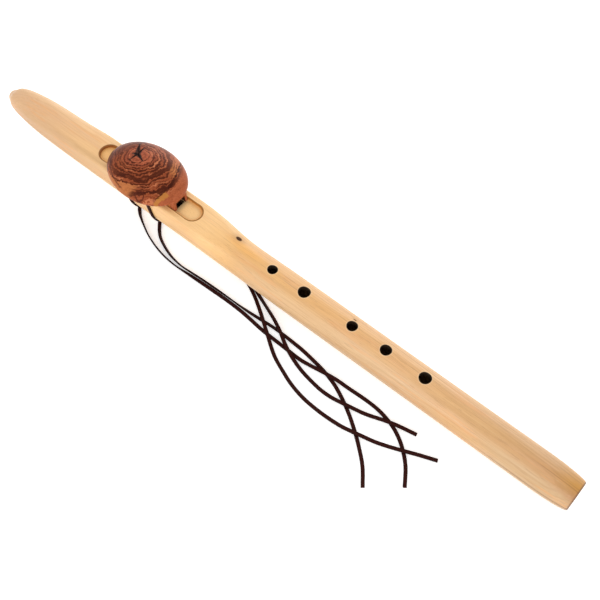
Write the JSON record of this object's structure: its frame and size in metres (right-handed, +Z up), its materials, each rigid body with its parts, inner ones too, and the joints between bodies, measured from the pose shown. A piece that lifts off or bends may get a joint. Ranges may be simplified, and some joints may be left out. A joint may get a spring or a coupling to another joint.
{
  "type": "native american style flute",
  "caption": "Wooden duct flute with a slow air chamber, finger holes and a domed sliding block tied on with flat leather laces.",
  "frame": {"origin": "on the surface the flute lies on, below the middle of its length and width; the loose lace ends aren't counted", "axes": "+X along the flute from the mouth end to the open foot, +Y to the far side, away from the loose lace ends, +Z up through the block's dome. The bore slopes down towards the foot by 0.503 degrees, because the flute lies on its two knots and on the start of its foot taper"},
  "size_m": [0.6002, 0.1219, 0.0578],
  "materials": {
    "body_upper": "pale straight-grained softwood, satin oil",
    "body_lower": "pale straight-grained softwood, satin oil",
    "block": "reddish brown burl with dark wavy figure, polished",
    "lace_rear_wrap": "dark brown leather lace",
    "lace_front_wrap": "dark brown leather lace",
    "lace_rear_knot": "dark brown leather lace",
    "lace_front_knot": "dark brown leather lace",
    "lace_rear_end_near": "dark brown leather lace",
    "lace_rear_end_far": "dark brown leather lace",
    "lace_front_end_near": "dark brown leather lace",
    "lace_front_end_far": "dark brown leather lace"
  },
  "bodies": {
    "tube": {"body_upper": "body_upper", "body_lower": "body_lower"},
    "block_and_laces": {"block": "block", "lace_rear_wrap": "lace_rear_wrap", "lace_front_wrap": "lace_front_wrap", "lace_rear_knot": "lace_rear_knot", "lace_front_knot": "lace_front_knot", "lace_rear_end_near": "lace_rear_end_near", "lace_rear_end_far": "lace_rear_end_far", "lace_front_end_near": "lace_front_end_near", "lace_front_end_far": "lace_front_end_far"}
  },
  "joints": [
    {"name": "block_slide", "type": "slide", "parent": "tube", "child": "block_and_laces", "axis": [1, 0, -0.0088], "range_m": [-0.015, 0.012]}
  ]
}
